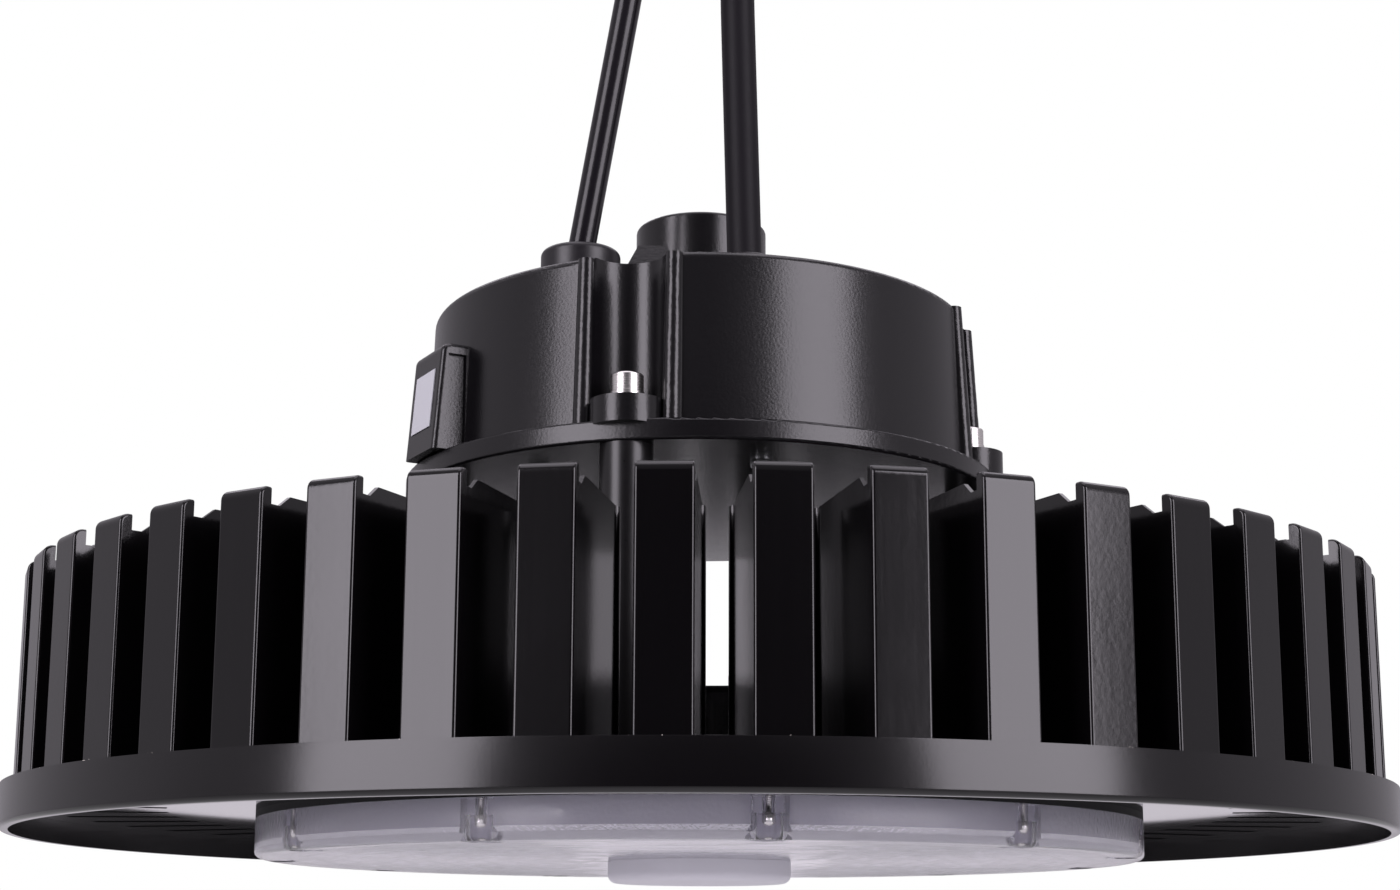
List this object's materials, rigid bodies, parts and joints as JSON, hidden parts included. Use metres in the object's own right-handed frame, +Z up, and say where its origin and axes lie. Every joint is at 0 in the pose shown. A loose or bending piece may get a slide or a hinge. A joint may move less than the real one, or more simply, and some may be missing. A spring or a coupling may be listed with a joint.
{
  "type": "high bay light",
  "caption": "Round suspended high bay light: cast driver housing on posts over a finned base plate, with a clear screwed lens below and leads rising from its top.",
  "frame": {"origin": "mouth of the hook thread, on its axis, in the top face of the boss that the light hangs from", "axes": "+Z up along the hook thread; -Y is the front that the picture shows, +X is to its right"},
  "size_m": [0.3784, 0.3784, 0.35],
  "materials": {
    "gloss_black": "gloss",
    "anodised_black": "satin",
    "cast_black": "matte",
    "post_metal": "satin",
    "stainless": "satin",
    "zinc_steel": "satin",
    "clear_lens": "gloss",
    "grey_cap": "matte",
    "seal_rubber": "matte",
    "gland_plastic": "satin",
    "control_sheath": "gloss",
    "mains_sheath": "matte",
    "connector_plastic": "satin",
    "label_white": "matte",
    "white_board": "satin",
    "led_phosphor": "gloss",
    "circuit_board": "satin",
    "ferrite_core": "matte",
    "can_aluminium": "satin"
  },
  "bodies": {
    "root": {"base_plate": "anodised_black", "rim_band": "anodised_black", "heat_sink_fins": "gloss_black", "mounting_posts": "post_metal", "post_foot_screws": "zinc_steel", "driver_housing": "cast_black", "side_label": "label_white", "base_cover": "cast_black", "driver_gasket": "seal_rubber", "cover_screws": "zinc_steel", "driver_board": "circuit_board", "driver_core": "ferrite_core", "driver_capacitors": "can_aluminium", "flat_washers": "stainless", "spring_washers": "stainless", "lug_screws": "stainless", "control_gland": "gland_plastic", "control_lead": "control_sheath", "control_connector": "connector_plastic", "mains_gland": "gland_plastic", "mains_lead": "mains_sheath", "mains_connector": "connector_plastic", "led_board": "white_board", "led_board_screws": "zinc_steel", "led_chips": "led_phosphor", "lens_gasket": "seal_rubber", "lens": "clear_lens", "lens_screws": "stainless", "centre_cap": "grey_cap"}
  },
  "joints": []
}
